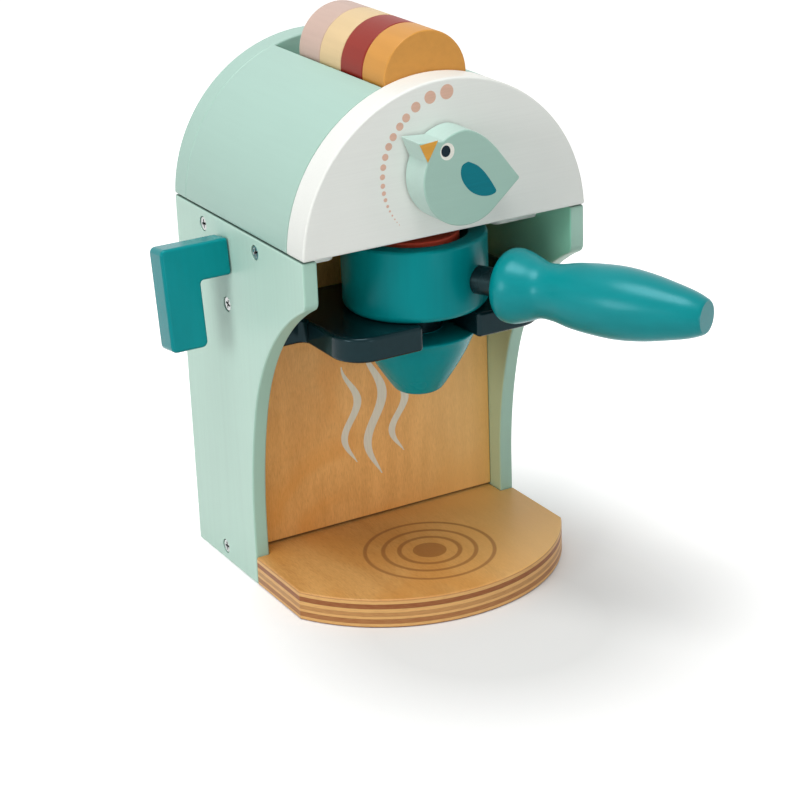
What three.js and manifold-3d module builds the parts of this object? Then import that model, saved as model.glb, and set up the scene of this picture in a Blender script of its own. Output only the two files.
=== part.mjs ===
// Wooden toy coffee maker: a barrel-shaped housing on two side panels and a plywood base, with a hopper
// for round pods on top, a holder that slides into a fork, a side lever and a bird-shaped turning knob.
// Millimetres, +Z up, front towards -Y. The origin is on the underside of the base, below the middle of
// the front panel's face.
import * as THREE from "three";
import { mergeVertices } from "three/addons/utils/BufferGeometryUtils.js";
import Module from "manifold-3d";

const wasm = await Module();
wasm.setup();

// Body
const bodyWidth = 160;
const sidePanelThickness = 8;
const housingUnderside = 198;
const archCentreDrop = 3.5;
const frontPanelThickness = 17.5;
const rearPanelThickness = 14;
const glueLine = 0.05;
const boardEasing = 1.2;

// Pods and their hopper
const podRadius = 23;
const podThickness = 21.5;
const podEasing = 0.8;
const podEndPlay = 0.3;
const podSidePlay = 1.5;
const podAxisAboveUnderside = 73.5;
const podCount = 5;
const hopperPlay = 3;

// Side panels
const legDepth = 70.7;
const legStraightHeight = 33;
const lowerSweepRadius = 240;
const sweepBend = THREE.MathUtils.degToRad(16.3);
const noseHeight = 24.4;
const noseSetBack = 1;
const noseRadius = 5;
const panelTopGap = 0.6;

// Base
const baseThickness = 16;
const baseProjection = 22;
const baseBow = 46.57;

// Back board
const backBoardSetBack = 83;
const backBoardThickness = 10;

// Collar board under the housing
const collarThickness = 13.5;
const collarSetBack = 32;
const collarClearance = 9;
const collarTipRadius = 4;
const collarEasing = 2;

// Fork that carries the holder
const forkDrop = 45;
const forkThickness = 13;
const forkGap = 31;
const forkShoulder = 13.5;
const forkFrontRadius = 17;
const forkTipRadius = 2.5;
const forkFlangeSetBack = 45;
const forkWaistRadius = 4;
const forkEasing = 1.8;

// Holder: bowl, spout, stub and turned grip
const holderSetBack = 34.5;
const bowlRadius = 37;
const bowlFootRadius = 3.8;
const rimClearance = 7.5;
const rimEasing = 1.6;
const podRecessPlay = 4;
const podProud = 0.5;
const recessFillet = 2;
const restGap = 0.3;
const neckRadius = 13;
const neckSocketDepth = 8;
const spoutTopRadius = 31;
const spoutLength = 33.9;
const stubRadius = 7.2;
const stubLength = 38;
const stubSeatDepth = 9;
const gripAboveFork = 17;
const gripRadius = 18.7;
const gripLength = 111.8;
const gripStandOff = 11.9;
const gripAngle = THREE.MathUtils.degToRad(28);

// Lever on the left side
const leverThickness = 14.6;
const leverReach = 37.1;
const leverDrop = 43.4;
const leverArmHeight = 19;
const leverArmRise = 9.5;
const leverUprightWidth = 20;
const leverCornerRadius = 3;
const leverInnerRadius = 2;
const leverEasing = 2.2;
const leverBelowHousing = 18.4;
const leverSetBack = 87.1;
const leverRunningGap = 0.4;
const leverLean = THREE.MathUtils.degToRad(7);
const leverScrewBite = 22;

// Knob on the front
const knobRadius = 23.5;
const knobAboveUnderside = 32;
const knobThickness = 17.5;
const knobRunningGap = 0.6;
const knobEasing = 0.8;
const knobScrewBite = 9;

// Screws and dowels
const screwHeadRadius = 3.6;
const screwShankRadius = 1.8;
const screwHeadDepth = 2.4;
const screwPoint = 3;
const screwClearance = 0.3;
const screwSink = 0.2;
const screwBite = 18;
const frontHousingScrewSetBack = 68;
const rearHousingScrewSetBack = 124;
const housingScrewInset = 18;
const forkScrewFromMiddle = 45;
const frontCollarScrewSetBack = 52;
const rearCollarScrewSetBack = 110.5;
const collarScrewDrop = 8.5;
const baseScrewSetBack = 109.5;
const backBoardScrewBelowLever = 27.1;
const dowelRadius = 4;
const dowelLength = 24;
const dowelDepthInPanel = 9;
const dowelClearance = 0.3;
const dowelFromSide = 26;
const dowelAboveUnderside = 26;

const cutOverrun = 5;
const archSteps = 24;
const boardSteps = 12;
const collarSteps = 9;
const cornerSteps = 6;
const sweepSteps = 14;
const roundSides = 44;
const gripSides = 32;
const screwSides = 12;
const dowelSides = 20;
const softEdgeSteps = 2;
const coordinatesPerVertex = 3;

// Sizes that follow from the ones above
const halfWidth = bodyWidth / 2;
const innerHalfWidth = halfWidth - sidePanelThickness;
const fittedHalfWidth = innerHalfWidth - glueLine;
const podPitch = podThickness + podEndPlay;
const hopperLength = podCount * podPitch + hopperPlay;
const hopperHalfWidth = podRadius + podSidePlay;
const bodyDepth = frontPanelThickness + hopperLength + rearPanelThickness;
const hopperBack = bodyDepth - rearPanelThickness;
const archRadius = Math.hypot(halfWidth, archCentreDrop);
const archCentreHeight = housingUnderside - archCentreDrop;
const podAxisHeight = housingUnderside + podAxisAboveUnderside;
const hopperFloorHeight = podAxisHeight - podRadius;
const legFront = bodyDepth - legDepth;
const backBoardRear = backBoardSetBack + backBoardThickness;
const collarUnderside = housingUnderside - collarThickness;
const collarNotchRadius = bowlRadius + collarClearance;
const forkTop = housingUnderside - forkDrop;
const forkUnderside = forkTop - forkThickness;
const bowlFootHeight = forkTop + restGap;
const bowlHeight = housingUnderside - rimClearance - bowlFootHeight;
const recessRadius = podRadius + podRecessPlay;
const recessFloor = bowlHeight + podProud - podThickness;
const spoutTopHeight = forkUnderside - restGap;
const spoutBottomHeight = spoutTopHeight - spoutLength;
const neckTop = bowlFootHeight + neckSocketDepth - glueLine;
const gripHeight = forkTop + gripAboveFork;
const leverHeight = housingUnderside - leverBelowHousing;
const knobHeight = housingUnderside + knobAboveUnderside;
const backBoardScrewHeight = leverHeight - backBoardScrewBelowLever;

const wood = { roughness: 0.55, metalness: 0 };
const mintPaint = new THREE.MeshStandardMaterial({ color: 0xb2d2c3, ...wood });
const whitePaint = new THREE.MeshStandardMaterial({ color: 0xe9ebe4, ...wood });
const navyPaint = new THREE.MeshStandardMaterial({ color: 0x24343f, ...wood });
const tealPaint = new THREE.MeshStandardMaterial({ color: 0x00828a, ...wood });
const plywood = new THREE.MeshStandardMaterial({ color: 0xc19355, ...wood });
const veneer = new THREE.MeshStandardMaterial({ color: 0xc8935a, ...wood });
const beech = new THREE.MeshStandardMaterial({ color: 0xd9b98a, ...wood });
const steel = new THREE.MeshStandardMaterial({ color: 0x9a9c9e, roughness: 0.35, metalness: 1 });
const podPaints = {
  pod_mustard: 0xe3a14f,
  pod_maroon: 0x9b3a30,
  pod_cream: 0xebcd8c,
  pod_pink: 0xdeb4ac,
  pod_red: 0xc2452f,
};

// Turns a drawing's own axes into the part's: (y, z) along X, (x, z) along Y and (x, y) along Z.
const axisX = new THREE.Vector3(1, 0, 0);
const axisY = new THREE.Vector3(0, 1, 0);
const axisZ = new THREE.Vector3(0, 0, 1);
const facing = {
  x: new THREE.Matrix4().makeBasis(axisY, axisZ, axisX),
  y: new THREE.Matrix4().makeBasis(axisX, axisZ, axisY.clone().negate()),
  z: new THREE.Matrix4().makeBasis(axisX, axisY, axisZ),
};

const model = new THREE.Group();

// Joins the points that neighbouring faces share, so that the shape is one closed surface.
function welded(geometry) {
  geometry.deleteAttribute("normal");
  geometry.deleteAttribute("uv");
  return mergeVertices(geometry);
}

function addPiece(name, geometry, material, parent = model) {
  const faceted = geometry.toNonIndexed();
  faceted.computeVertexNormals();
  const mesh = new THREE.Mesh(faceted, material);
  mesh.name = name;
  parent.add(mesh);
  return mesh;
}

function solidOf(geometry) {
  return new wasm.Manifold(
    new wasm.Mesh({
      numProp: coordinatesPerVertex,
      vertProperties: geometry.attributes.position.array,
      triVerts: new Uint32Array(geometry.index.array),
    }),
  );
}

function geometryOf(solid) {
  const mesh = solid.getMesh();
  const geometry = new THREE.BufferGeometry();
  geometry.setAttribute("position", new THREE.BufferAttribute(mesh.vertProperties, coordinatesPerVertex));
  geometry.setIndex(new THREE.BufferAttribute(mesh.triVerts, 1));
  return geometry;
}

function cut(geometry, tools) {
  let solid = solidOf(geometry);
  for (const tool of tools) solid = solid.subtract(solidOf(tool));
  return geometryOf(solid);
}

// A board with the given outline between two planes across one axis, its edges eased in some steps.
function board(outline, axis, from, to, { easing = 0, steps = boardSteps, edgeSteps = 1 } = {}) {
  const thickness = to - from;
  const extruded = new THREE.ExtrudeGeometry(outline, {
    depth: thickness - easing - easing,
    curveSegments: steps,
    bevelEnabled: easing > 0,
    bevelThickness: easing,
    bevelSize: easing,
    bevelOffset: -easing,
    bevelSegments: edgeSteps,
  });
  const geometry = welded(extruded);
  geometry.translate(0, 0, easing);
  geometry.applyMatrix4(facing[axis]);
  const start = axis === "y" ? to : from;
  geometry.translate(
    axis === "x" ? start : 0,
    axis === "y" ? start : 0,
    axis === "z" ? start : 0,
  );
  return geometry;
}

// A turned piece: (radius, height) points from the bottom of the axis to its top, turned round Y.
function turned(points, sides = roundSides) {
  const profile = points.map(([radius, height]) => new THREE.Vector2(radius, height));
  return welded(new THREE.LatheGeometry(profile, sides));
}

function roundRod(radius, bottom, top, sides = dowelSides) {
  return turned([[0, bottom], [radius, bottom], [radius, top], [0, top]], sides);
}

function rectangle(left, right, bottom, top) {
  const shape = new THREE.Shape();
  shape.moveTo(left, bottom);
  shape.lineTo(right, bottom);
  shape.lineTo(right, top);
  shape.lineTo(left, top);
  shape.closePath();
  return shape;
}

// Countersunk wood screws: the head's face lies at the local origin and the shank runs down local Y.
function screwProfile(length) {
  return [
    [0, -length],
    [screwShankRadius, screwPoint - length],
    [screwShankRadius, -screwHeadDepth],
    [screwHeadRadius, 0],
    [0, 0],
  ];
}

function screwHoleProfile(length) {
  return [
    [0, -length - screwClearance],
    [screwShankRadius + screwClearance, -length - screwClearance],
    [screwShankRadius + screwClearance, -screwHeadDepth],
    [screwHeadRadius + screwClearance, 0],
    [screwHeadRadius + screwClearance, cutOverrun],
    [0, cutOverrun],
  ];
}

const quarterTurn = Math.PI / 2;
const screwTurns = {
  right: new THREE.Euler(0, 0, quarterTurn),
  left: new THREE.Euler(0, 0, -quarterTurn),
  forward: new THREE.Euler(0, 0, 0),
  up: new THREE.Euler(-quarterTurn, 0, 0),
};

function screwPlace(screw) {
  const turn = new THREE.Quaternion().setFromEuler(screwTurns[screw.drives]);
  return new THREE.Matrix4().compose(screw.head, turn, new THREE.Vector3(1, 1, 1));
}

function screwHole(screw) {
  return turned(screwHoleProfile(screw.length), screwSides).applyMatrix4(screwPlace(screw));
}

function screwBody(screw) {
  return turned(screwProfile(screw.length), screwSides).applyMatrix4(screwPlace(screw));
}

// Every fixed screw, by the place of its head and the way it drives.
const sideScrewPlaces = {
  collar_front: [frontCollarScrewSetBack, housingUnderside - collarScrewDrop],
  collar_rear: [rearCollarScrewSetBack, housingUnderside - collarScrewDrop],
  back_board: [backBoardSetBack + backBoardThickness / 2, backBoardScrewHeight],
  base: [baseScrewSetBack, baseThickness / 2],
};
const screws = [];
for (const [place, [setBack, height]] of Object.entries(sideScrewPlaces)) {
  const reach = halfWidth - screwSink;
  const length = sidePanelThickness + screwBite;
  screws.push({ name: `left_${place}_screw`, head: new THREE.Vector3(-reach, setBack, height),
    drives: "right", length });
  screws.push({ name: `right_${place}_screw`, head: new THREE.Vector3(reach, setBack, height),
    drives: "left", length });
}
for (const [side, sign] of [["left", -1], ["right", 1]]) {
  screws.push({
    name: `${side}_fork_screw`,
    head: new THREE.Vector3(
      sign * forkScrewFromMiddle,
      backBoardRear - screwSink,
      forkTop - forkThickness / 2,
    ),
    drives: "forward",
    length: backBoardThickness + screwBite,
  });
  for (const [row, setBack] of [["front", frontHousingScrewSetBack], ["rear", rearHousingScrewSetBack]]) {
    screws.push({
      name: `${side}_housing_screw_${row}`,
      head: new THREE.Vector3(
        sign * (innerHalfWidth - housingScrewInset),
        setBack,
        collarUnderside + screwSink,
      ),
      drives: "up",
      length: collarThickness + screwBite,
    });
  }
}
const screwHoles = screws.map(screwHole);

// Plain dowels between the housing's blocks and the panels at its two ends.
const dowels = [];
for (const [side, sign] of [["left", -1], ["right", 1]]) {
  const across = sign * (halfWidth - dowelFromSide);
  const height = housingUnderside + dowelAboveUnderside;
  dowels.push({ name: `${side}_front_dowel`, across, height,
    from: frontPanelThickness - dowelDepthInPanel });
  dowels.push({ name: `${side}_rear_dowel`, across, height,
    from: hopperBack + dowelDepthInPanel - dowelLength });
}

function dowelRod(dowel, gap) {
  const rod = roundRod(dowelRadius + gap, -gap, dowelLength + gap);
  return rod.translate(dowel.across, dowel.from, dowel.height);
}

const dowelHoles = dowels.map((dowel) => dowelRod(dowel, dowelClearance));

// Base: plywood, between the legs at the back and as wide as the body in front of them.
function baseOutline() {
  const arcRadius = (halfWidth * halfWidth + baseBow * baseBow) / (2 * baseBow);
  const arcCentre = arcRadius - baseProjection;
  const arcAngle = Math.acos(halfWidth / arcRadius);
  const shoulder = legFront - glueLine;
  const shape = new THREE.Shape();
  shape.moveTo(-fittedHalfWidth, bodyDepth);
  shape.lineTo(-fittedHalfWidth, shoulder);
  shape.lineTo(-halfWidth, shoulder);
  shape.absarc(0, arcCentre, arcRadius, Math.PI + arcAngle, 2 * Math.PI - arcAngle, false);
  shape.lineTo(halfWidth, shoulder);
  shape.lineTo(fittedHalfWidth, shoulder);
  shape.lineTo(fittedHalfWidth, bodyDepth);
  shape.closePath();
  return shape;
}

// Side panel: a leg that sweeps forward in a wide arc and then a tighter one, to a short upright nose under
// the housing. The tighter arc goes on from the wide one without a corner and ends at the nose.
function sidePanelOutline() {
  const top = housingUnderside - panelTopGap;
  const noseBottom = housingUnderside - noseHeight;
  const lowerCentre = new THREE.Vector2(legFront - lowerSweepRadius, legStraightHeight);
  const outward = new THREE.Vector2(Math.cos(sweepBend), Math.sin(sweepBend));
  const bend = lowerCentre.clone().addScaledVector(outward, lowerSweepRadius);
  const noseEnd = new THREE.Vector2(noseSetBack, noseBottom);
  const chord = noseEnd.clone().sub(bend);
  const upperSweepRadius = chord.lengthSq() / (-2 * chord.dot(outward));
  const upperCentre = bend.clone().addScaledVector(outward, -upperSweepRadius);
  const noseAngle = noseEnd.clone().sub(upperCentre).angle() - noseRadius / upperSweepRadius;
  const shape = new THREE.Shape();
  shape.moveTo(bodyDepth, 0);
  shape.lineTo(bodyDepth, top);
  shape.lineTo(noseSetBack, top);
  shape.lineTo(noseSetBack, noseBottom + noseRadius);
  shape.quadraticCurveTo(
    noseSetBack,
    noseBottom,
    upperCentre.x + upperSweepRadius * Math.cos(noseAngle),
    upperCentre.y + upperSweepRadius * Math.sin(noseAngle),
  );
  const sweeps = [
    [upperCentre, upperSweepRadius, noseAngle, sweepBend],
    [lowerCentre, lowerSweepRadius, sweepBend, 0],
  ];
  for (const [centre, radius, from, to] of sweeps) {
    for (let step = 1; step <= sweepSteps; step += 1) {
      const angle = from + ((to - from) * step) / sweepSteps;
      shape.lineTo(centre.x + radius * Math.cos(angle), centre.y + radius * Math.sin(angle));
    }
  }
  shape.lineTo(legFront, 0);
  shape.closePath();
  return shape;
}

// Half-round outline of the housing, whole or only the part beside the hopper.
function archOutline() {
  const foot = Math.asin(archCentreDrop / archRadius);
  const shape = new THREE.Shape();
  shape.moveTo(halfWidth, housingUnderside);
  shape.absarc(0, archCentreHeight, archRadius, foot, Math.PI - foot, false);
  shape.closePath();
  return shape;
}

function shellOutline(sign) {
  const foot = Math.asin(archCentreDrop / archRadius);
  const mouth = Math.acos(hopperHalfWidth / archRadius);
  const shape = new THREE.Shape();
  shape.moveTo(sign * hopperHalfWidth, housingUnderside);
  shape.lineTo(sign * halfWidth, housingUnderside);
  if (sign > 0) shape.absarc(0, archCentreHeight, archRadius, foot, mouth, false);
  else shape.absarc(0, archCentreHeight, archRadius, Math.PI - foot, Math.PI - mouth, true);
  shape.closePath();
  return shape;
}

// Collar board: closes the housing from below, with a round notch over the bowl.
function collarOutline() {
  const offset = holderSetBack - collarSetBack;
  const notchAngle = Math.asin(offset / collarNotchRadius);
  const tip = collarNotchRadius * Math.cos(notchAngle);
  const start = notchAngle - collarTipRadius / collarNotchRadius;
  const startAcross = collarNotchRadius * Math.cos(start);
  const startBack = holderSetBack - collarNotchRadius * Math.sin(start);
  const shape = new THREE.Shape();
  shape.moveTo(-fittedHalfWidth, bodyDepth);
  shape.lineTo(-fittedHalfWidth, collarSetBack);
  shape.lineTo(-tip - collarTipRadius, collarSetBack);
  shape.quadraticCurveTo(-tip, collarSetBack, -startAcross, startBack);
  shape.absarc(0, holderSetBack, collarNotchRadius, Math.PI + start, -start, true);
  shape.quadraticCurveTo(tip, collarSetBack, tip + collarTipRadius, collarSetBack);
  shape.lineTo(fittedHalfWidth, collarSetBack);
  shape.lineTo(fittedHalfWidth, bodyDepth);
  shape.closePath();
  return shape;
}

// Fork: two prongs with round front corners round a gap that ends in a half circle on the bowl's axis.
function forkOutline() {
  const half = innerHalfWidth - forkShoulder;
  const gap = forkGap / 2;
  const back = backBoardSetBack - glueLine;
  const shape = new THREE.Shape();
  shape.moveTo(-fittedHalfWidth, back);
  shape.lineTo(-fittedHalfWidth, forkFlangeSetBack);
  shape.lineTo(-half - forkWaistRadius, forkFlangeSetBack);
  shape.quadraticCurveTo(-half, forkFlangeSetBack, -half, forkFlangeSetBack - forkWaistRadius);
  shape.absarc(forkFrontRadius - half, forkFrontRadius, forkFrontRadius, Math.PI, 3 * quarterTurn, false);
  shape.absarc(-gap - forkTipRadius, forkTipRadius, forkTipRadius, 3 * quarterTurn, 2 * Math.PI, false);
  shape.absarc(0, holderSetBack, gap, Math.PI, 0, true);
  shape.absarc(gap + forkTipRadius, forkTipRadius, forkTipRadius, Math.PI, 3 * quarterTurn, false);
  shape.absarc(half - forkFrontRadius, forkFrontRadius, forkFrontRadius, 3 * quarterTurn, 2 * Math.PI, false);
  shape.lineTo(half, forkFlangeSetBack - forkWaistRadius);
  shape.quadraticCurveTo(half, forkFlangeSetBack, half + forkWaistRadius, forkFlangeSetBack);
  shape.lineTo(fittedHalfWidth, forkFlangeSetBack);
  shape.lineTo(fittedHalfWidth, back);
  shape.closePath();
  return shape;
}

const panelTop = housingUnderside - glueLine;
const leverScrew = {
  head: new THREE.Vector3(-innerHalfWidth - screwSink, leverSetBack, leverHeight),
  drives: "left",
  length: sidePanelThickness + leverScrewBite,
};
const knobScrew = {
  head: new THREE.Vector3(0, frontPanelThickness - screwSink, knobHeight),
  drives: "forward",
  length: frontPanelThickness + knobScrewBite,
};
const leverScrewHole = turned(screwHoleProfile(leverScrew.length), screwSides)
  .rotateZ(-quarterTurn)
  .translate(...leverScrew.head.toArray());

const baseBoard = board(baseOutline(), "z", 0, baseThickness, { easing: boardEasing });
addPiece("base_board", cut(baseBoard, screwHoles), plywood);

for (const [side, sign] of [["left", -1], ["right", 1]]) {
  const outer = sign * halfWidth;
  const inner = sign * innerHalfWidth;
  const panel = board(
    sidePanelOutline(),
    "x",
    Math.min(outer, inner),
    Math.max(outer, inner),
    { easing: boardEasing },
  );
  const holes = sign < 0 ? [...screwHoles, leverScrewHole] : screwHoles;
  addPiece(`${side}_side_panel`, cut(panel, holes), mintPaint);
  const shell = board(
    shellOutline(sign),
    "y",
    frontPanelThickness + glueLine,
    hopperBack - glueLine,
    { steps: archSteps },
  );
  addPiece(`${side}_shell`, cut(shell, [...screwHoles, ...dowelHoles]), mintPaint);
}

const backBoard = board(
  rectangle(-fittedHalfWidth, fittedHalfWidth, baseThickness + glueLine, collarUnderside - glueLine),
  "y",
  backBoardSetBack,
  backBoardRear,
);
addPiece("back_board", cut(backBoard, screwHoles), veneer);

const collar = board(collarOutline(), "z", collarUnderside, panelTop, {
  easing: collarEasing,
  steps: collarSteps,
});
addPiece("collar_board", cut(collar, screwHoles), whitePaint);

const fork = board(forkOutline(), "z", forkUnderside, forkTop, {
  easing: forkEasing,
  steps: cornerSteps,
  edgeSteps: softEdgeSteps,
});
addPiece("holder_fork", cut(fork, screwHoles), navyPaint);

const knobScrewHole = screwHole(knobScrew);
const arch = { easing: boardEasing, steps: archSteps };
const frontPanel = board(archOutline(), "y", 0, frontPanelThickness, arch);
addPiece("front_panel", cut(frontPanel, [...dowelHoles, knobScrewHole]), whitePaint);

const rearPanel = board(archOutline(), "y", hopperBack, bodyDepth, arch);
addPiece("rear_panel", cut(rearPanel, dowelHoles), mintPaint);

const hopperFloor = board(
  rectangle(
    glueLine - hopperHalfWidth,
    hopperHalfWidth - glueLine,
    housingUnderside,
    hopperFloorHeight,
  ),
  "y",
  frontPanelThickness + glueLine,
  hopperBack - glueLine,
);
addPiece("hopper_floor", hopperFloor, mintPaint);

for (const screw of screws) addPiece(screw.name, screwBody(screw), steel);
for (const dowel of dowels) addPiece(dowel.name, dowelRod(dowel, 0), beech);

// Pods: five round blocks with eased edges, four on edge in the hopper and one flat in the bowl.
function podGeometry() {
  return turned([
    [0, 0],
    [podRadius - podEasing, 0],
    [podRadius, podEasing],
    [podRadius, podThickness - podEasing],
    [podRadius - podEasing, podThickness],
    [0, podThickness],
  ]);
}

Object.entries(podPaints).forEach(([name, color], place) => {
  const paint = new THREE.MeshStandardMaterial({ color, ...wood });
  const pod = podGeometry();
  if (name === "pod_red") {
    pod.rotateX(quarterTurn);
    pod.translate(0, holderSetBack, bowlFootHeight + recessFloor + glueLine);
  } else {
    const along = frontPanelThickness + place * podPitch + podEndPlay / 2;
    pod.translate(0, along, podAxisHeight + glueLine);
  }
  addPiece(name, pod, paint);
});

// Holder: a turned bowl with a recess for one pod, and a spout whose neck drops through the fork's gap.
const holder = new THREE.Group();
holder.position.set(0, holderSetBack, 0);
model.add(holder);

const gripTurn = new THREE.Group();
gripTurn.rotation.z = gripAngle;
holder.add(gripTurn);

function quarterRound(centreRadius, centreHeight, radius, startAngle, steps) {
  return Array.from({ length: steps + 1 }, (_, step) => {
    const angle = startAngle + (step / steps) * quarterTurn;
    return [centreRadius + radius * Math.cos(angle), centreHeight + radius * Math.sin(angle)];
  });
}

const footSteps = 6;
const bowlProfile = [
  [0, neckSocketDepth],
  [neckRadius + glueLine, neckSocketDepth],
  [neckRadius + glueLine, 0],
  ...quarterRound(bowlRadius - bowlFootRadius, bowlFootRadius, bowlFootRadius, -quarterTurn, footSteps),
  ...quarterRound(bowlRadius - rimEasing, bowlHeight - rimEasing, rimEasing, 0, softEdgeSteps),
  [recessRadius + rimEasing, bowlHeight],
  [recessRadius, bowlHeight - rimEasing],
  [recessRadius, recessFloor + recessFillet],
  [recessRadius - recessFillet, recessFloor],
  [0, recessFloor],
];

const stubStart = bowlRadius - stubSeatDepth;
const gripStart = bowlRadius + gripStandOff;
const stubSeat = roundRod(stubRadius + glueLine, -stubStart - stubLength, glueLine - stubStart);
stubSeat.translate(0, 0, gripHeight);
stubSeat.rotateZ(gripAngle);
const bowl = turned(bowlProfile).rotateX(quarterTurn).translate(0, 0, bowlFootHeight);
addPiece("holder_bowl", cut(bowl, [stubSeat]), tealPaint, holder);

const spoutShares = [
  [0.27, 0],
  [0.37, 0.03],
  [0.45, 0.11],
  [0.65, 0.39],
  [0.8, 0.625],
  [0.93, 0.875],
  [0.99, 0.97],
  [0.97, 1],
];
const spoutSide = spoutShares.map(([radiusShare, heightShare]) => [
  radiusShare * spoutTopRadius,
  spoutBottomHeight + heightShare * spoutLength,
]);
const spout = turned([
  [0, spoutBottomHeight],
  ...spoutSide,
  [neckRadius, spoutTopHeight],
  [neckRadius, neckTop],
  [0, neckTop],
]);
addPiece("holder_spout", spout.rotateX(quarterTurn), tealPaint, holder);

const stub = roundRod(stubRadius, -stubStart - stubLength, -stubStart);
addPiece("grip_stub", stub.translate(0, 0, gripHeight), navyPaint, gripTurn);

// Grip: a round bulb by the bowl, a narrow neck and a long belly down to a small flat end.
const gripShares = [
  [0, 0.47],
  [0.012, 0.64],
  [0.03, 0.85],
  [0.055, 0.97],
  [0.085, 1],
  [0.12, 0.97],
  [0.17, 0.87],
  [0.23, 0.74],
  [0.3, 0.76],
  [0.38, 0.86],
  [0.48, 0.925],
  [0.6, 0.95],
  [0.72, 0.88],
  [0.84, 0.74],
  [0.93, 0.61],
  [0.985, 0.485],
  [1, 0.42],
];
const gripSteps = 26;
const gripCurve = new THREE.SplineCurve(
  gripShares.map(
    ([lengthShare, radiusShare]) =>
      new THREE.Vector2(radiusShare * gripRadius, -gripStart - lengthShare * gripLength),
  ),
);
const gripSide = gripCurve.getPoints(gripSteps).reverse();
const stubSocketDepth = stubLength - stubSeatDepth - gripStandOff + restGap;
const grip = turned([
  [0, -gripStart - gripLength],
  ...gripSide.map((point) => [point.x, point.y]),
  [stubRadius + glueLine, -gripStart],
  [stubRadius + glueLine, -gripStart - stubSocketDepth],
  [0, -gripStart - stubSocketDepth],
], gripSides);
addPiece("grip", grip.translate(0, 0, gripHeight), tealPaint, gripTurn);

// Lever: an L cut from one board, held by a screw from inside the left panel and free to turn on it.
function leverOutline() {
  const right = -leverRunningGap;
  const left = right - leverReach;
  const bottom = -leverDrop;
  const underside = leverArmRise - leverArmHeight;
  const inner = left + leverUprightWidth;
  const shape = new THREE.Shape();
  shape.moveTo(right, underside);
  shape.lineTo(right, leverArmRise);
  shape.lineTo(left + leverCornerRadius, leverArmRise);
  shape.quadraticCurveTo(left, leverArmRise, left, leverArmRise - leverCornerRadius);
  shape.lineTo(left, bottom + leverCornerRadius);
  shape.quadraticCurveTo(left, bottom, left + leverCornerRadius, bottom);
  shape.lineTo(inner - leverCornerRadius, bottom);
  shape.quadraticCurveTo(inner, bottom, inner, bottom + leverCornerRadius);
  shape.lineTo(inner, underside - leverInnerRadius);
  shape.quadraticCurveTo(inner, underside, inner + leverInnerRadius, underside);
  shape.closePath();
  return shape;
}

const lever = new THREE.Group();
lever.position.set(-halfWidth, leverSetBack, leverHeight);
lever.rotation.x = -leverLean;
model.add(lever);
const leverBoard = board(leverOutline(), "y", -leverThickness / 2, leverThickness / 2, {
  easing: leverEasing,
  steps: cornerSteps,
  edgeSteps: softEdgeSteps,
});
const leverPilotHole = turned(screwHoleProfile(leverScrew.length), screwSides)
  .rotateZ(-quarterTurn)
  .translate(sidePanelThickness - screwSink, 0, 0);
addPiece("lever_arm", cut(leverBoard, [leverPilotHole]), tealPaint, lever);
addPiece("lever_screw", screwBody(leverScrew), steel);

// Knob: a disc with a pointed tail and a small beak, turning on a screw through the front panel.
const beakRootShares = [-0.89, 0.45];
const beakTipShares = [-1.08, 0.89];
const beakTopShares = [-0.56, 0.88];
const tailUnderShares = [1.22, -0.275];
const tailTipShares = [1.295, -0.225];
const tailOverShares = [1.25, -0.172];
const tailTopShares = [0.777, 0.452];
const crownShares = [0.39, 0.93];
const tailTangent = THREE.MathUtils.degToRad(-51);

function knobOutline() {
  const at = ([acrossShare, upShare]) => [acrossShare * knobRadius, upShare * knobRadius];
  const beakRootAngle = Math.atan2(beakRootShares[1], beakRootShares[0]);
  const beakTopAngle = Math.atan2(beakTopShares[1], beakTopShares[0]);
  const shape = new THREE.Shape();
  shape.moveTo(knobRadius * Math.cos(tailTangent), knobRadius * Math.sin(tailTangent));
  shape.lineTo(...at(tailUnderShares));
  shape.quadraticCurveTo(...at(tailTipShares), ...at(tailOverShares));
  shape.lineTo(...at(tailTopShares));
  shape.quadraticCurveTo(...at(crownShares), 0, knobRadius);
  shape.absarc(0, 0, knobRadius, quarterTurn, beakTopAngle, false);
  shape.lineTo(...at(beakTipShares));
  shape.lineTo(knobRadius * Math.cos(beakRootAngle), knobRadius * Math.sin(beakRootAngle));
  shape.absarc(0, 0, knobRadius, beakRootAngle, 2 * Math.PI + tailTangent, false);
  shape.closePath();
  return shape;
}

const knobBack = -knobRunningGap;
const knobBoard = board(knobOutline(), "y", knobBack - knobThickness, knobBack, { easing: knobEasing });
knobBoard.translate(0, 0, knobHeight);
addPiece("knob", cut(knobBoard, [knobScrewHole]), mintPaint);
addPiece("knob_screw", screwBody(knobScrew), steel);

export default model;
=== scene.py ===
# Wooden toy coffee maker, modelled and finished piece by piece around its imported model.
# Metres, +Z up, the front towards -Y and the lever on the left, at -X.
import math

import bmesh
import bpy
from mathutils import Matrix, Vector


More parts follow.
